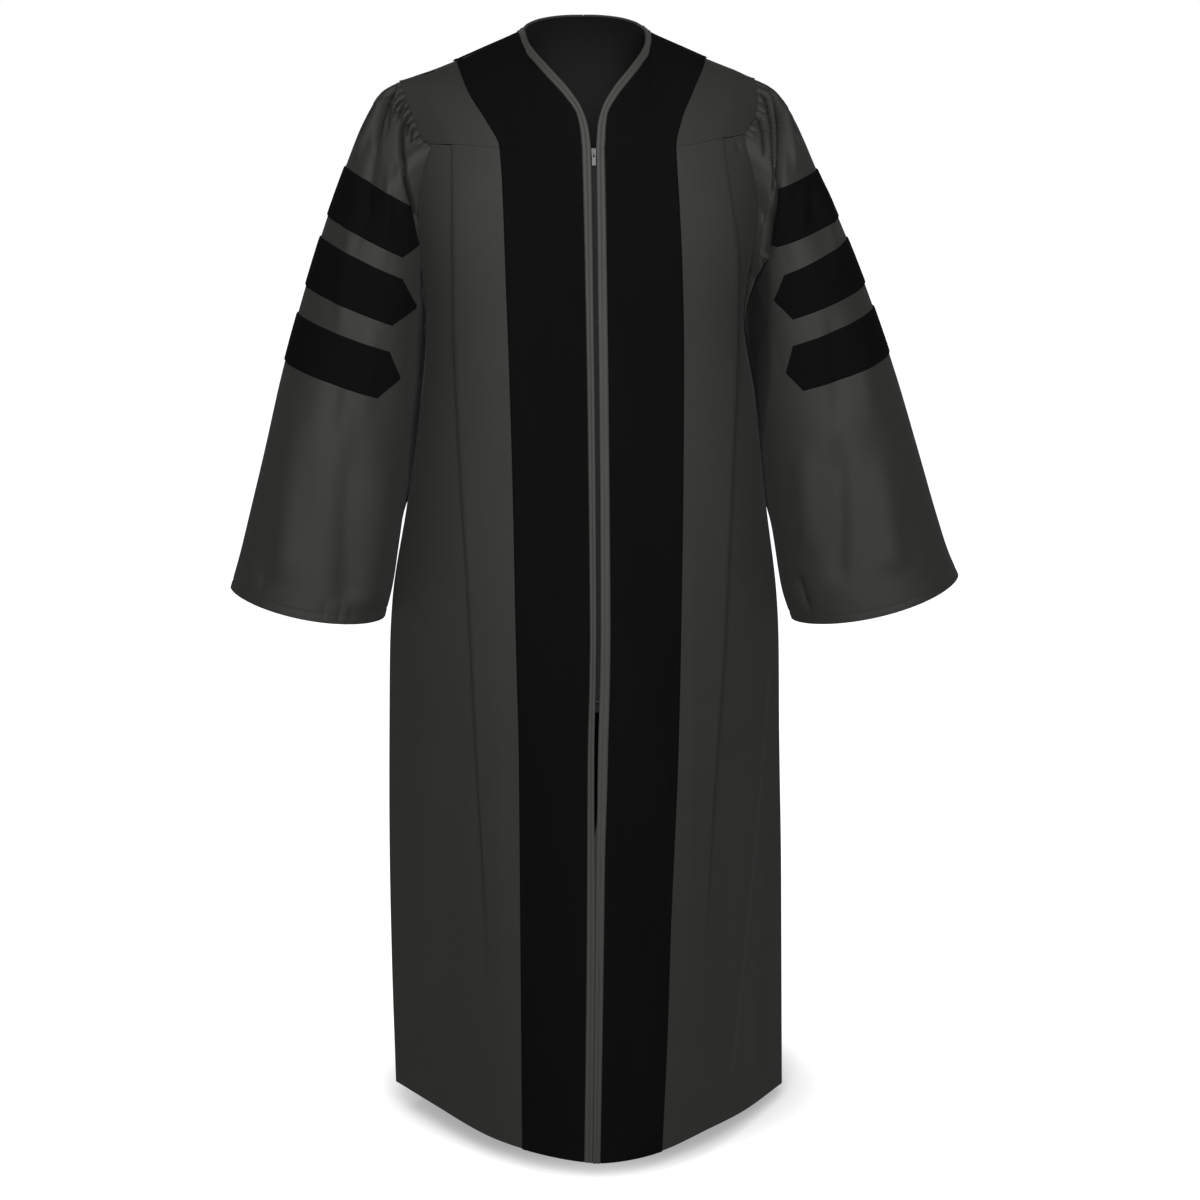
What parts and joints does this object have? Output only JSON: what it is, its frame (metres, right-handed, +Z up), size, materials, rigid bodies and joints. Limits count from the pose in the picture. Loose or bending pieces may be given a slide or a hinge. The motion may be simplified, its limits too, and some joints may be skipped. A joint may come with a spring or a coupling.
{
  "type": "graduation gown",
  "caption": "Open-necked full-length gown with gathered bell sleeves, velvet front panels and sleeve bars, and a front zip.",
  "frame": {"origin": "base of the wearer's neck, midway between the tops of the shoulders, where the shoulders hold the gown", "axes": "+Z up, -Y the front of the gown, +X the wearer's left, which is the right of the picture"},
  "size_m": [0.9171, 0.4155, 1.3873],
  "materials": {
    "charcoal_cloth": "matte woven cloth with a slight satin",
    "black_velvet": "short pile velvet",
    "edge_band": "folded cloth band",
    "zip_tape": "woven tape and moulded coil",
    "zip_metal": "dark plated metal"
  },
  "bodies": {
    "gown": {"yoke_right": "charcoal_cloth", "yoke_left": "charcoal_cloth", "yoke_back": "charcoal_cloth", "front_right": "charcoal_cloth", "front_left": "charcoal_cloth", "back": "charcoal_cloth", "sleeve_right": "charcoal_cloth", "sleeve_left": "charcoal_cloth", "velvet_upper_right": "black_velvet", "velvet_upper_left": "black_velvet", "velvet_lower_right": "black_velvet", "velvet_lower_left": "black_velvet", "velvet_back": "black_velvet", "edge_band_right": "edge_band", "edge_band_left": "edge_band", "bar_right_1": "black_velvet", "bar_right_2": "black_velvet", "bar_right_3": "black_velvet", "bar_left_1": "black_velvet", "bar_left_2": "black_velvet", "bar_left_3": "black_velvet", "zip_tape_right": "zip_tape", "zip_tape_left": "zip_tape", "zip_chain": "zip_tape", "zip_slider": "zip_metal", "zip_stop": "zip_metal"},
    "pull": {"pull_tab": "zip_metal"}
  },
  "joints": [
    {"name": "pull_swing", "type": "hinge", "parent": "gown", "child": "pull", "pos_m": [-0.0022, -0.11909, -0.13267], "axis": [-1, 0, 0], "range_deg": [0, 150]}
  ]
}
